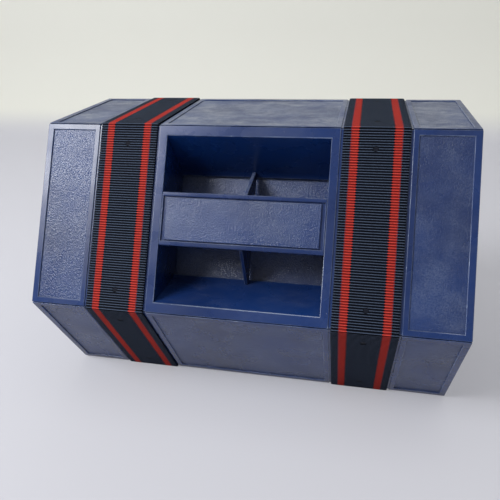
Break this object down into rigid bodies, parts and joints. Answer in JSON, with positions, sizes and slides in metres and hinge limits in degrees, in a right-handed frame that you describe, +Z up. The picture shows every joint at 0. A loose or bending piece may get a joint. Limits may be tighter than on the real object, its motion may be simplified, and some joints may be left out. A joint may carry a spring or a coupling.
{
  "type": "roll-up storage case",
  "caption": "Roll-up storage case: hinged plastic trays with dividers on two webbing straps, rolled into a six-sided prism with a carrying grip in one facet.",
  "frame": {"origin": "centre of the bounding box at the surface that the case stands on", "axes": "+X along the case, -Y towards the facet with the grip, +Z up"},
  "size_m": [0.35, 0.2522, 0.2354],
  "materials": {
    "tray_plastic": "navy moulded plastic, satin borders and pebble-grained fields",
    "divider_plastic": "smooth navy moulded plastic",
    "grip_plastic": "smooth navy moulded plastic",
    "cover_plate": "dusty navy plastic with a leather grain",
    "webbing": "ribbed navy-black webbing with two red stripes",
    "rivet_plastic": "dark plastic rivet"
  },
  "bodies": {
    "roll": {"tray_01": "tray_plastic", "tray_02": "tray_plastic", "tray_03": "tray_plastic", "tray_04": "tray_plastic", "tray_05": "tray_plastic", "tray_06": "tray_plastic", "tray_07": "tray_plastic", "tray_08": "tray_plastic", "dividers_01": "divider_plastic", "dividers_02": "divider_plastic", "dividers_03": "divider_plastic", "dividers_04": "divider_plastic", "dividers_05": "divider_plastic", "dividers_06": "divider_plastic", "dividers_07": "divider_plastic", "dividers_08": "divider_plastic", "strap_left_roll": "webbing", "strap_right_roll": "webbing", "rivets_roll": "rivet_plastic"},
    "front": {"front_tray": "tray_plastic", "front_dividers": "divider_plastic", "strap_left_front": "webbing", "strap_right_front": "webbing", "rivets_front": "rivet_plastic"},
    "handle": {"handle_tray": "tray_plastic", "strap_left_handle": "webbing", "strap_right_handle": "webbing", "rivets_handle": "rivet_plastic", "grip_bar": "grip_plastic", "grip_plate": "cover_plate", "grip_web": "grip_plastic"},
    "lid": {"lid_tray": "tray_plastic", "lid_dividers": "divider_plastic", "strap_left_lid": "webbing", "strap_right_lid": "webbing", "rivets_lid": "rivet_plastic"}
  },
  "joints": [
    {"name": "front_hinge", "type": "hinge", "parent": "roll", "child": "front", "pos_m": [0, -0.06758, 0.001], "axis": [1, 0, 0], "range_deg": [0, 60]},
    {"name": "handle_hinge", "type": "hinge", "parent": "front", "child": "handle", "pos_m": [0, -0.12533, 0.10103], "axis": [1, 0, 0], "range_deg": [0, 60]},
    {"name": "lid_hinge", "type": "hinge", "parent": "handle", "child": "lid", "pos_m": [0, -0.04833, 0.23439], "axis": [1, 0, 0], "range_deg": [0, 60]}
  ]
}
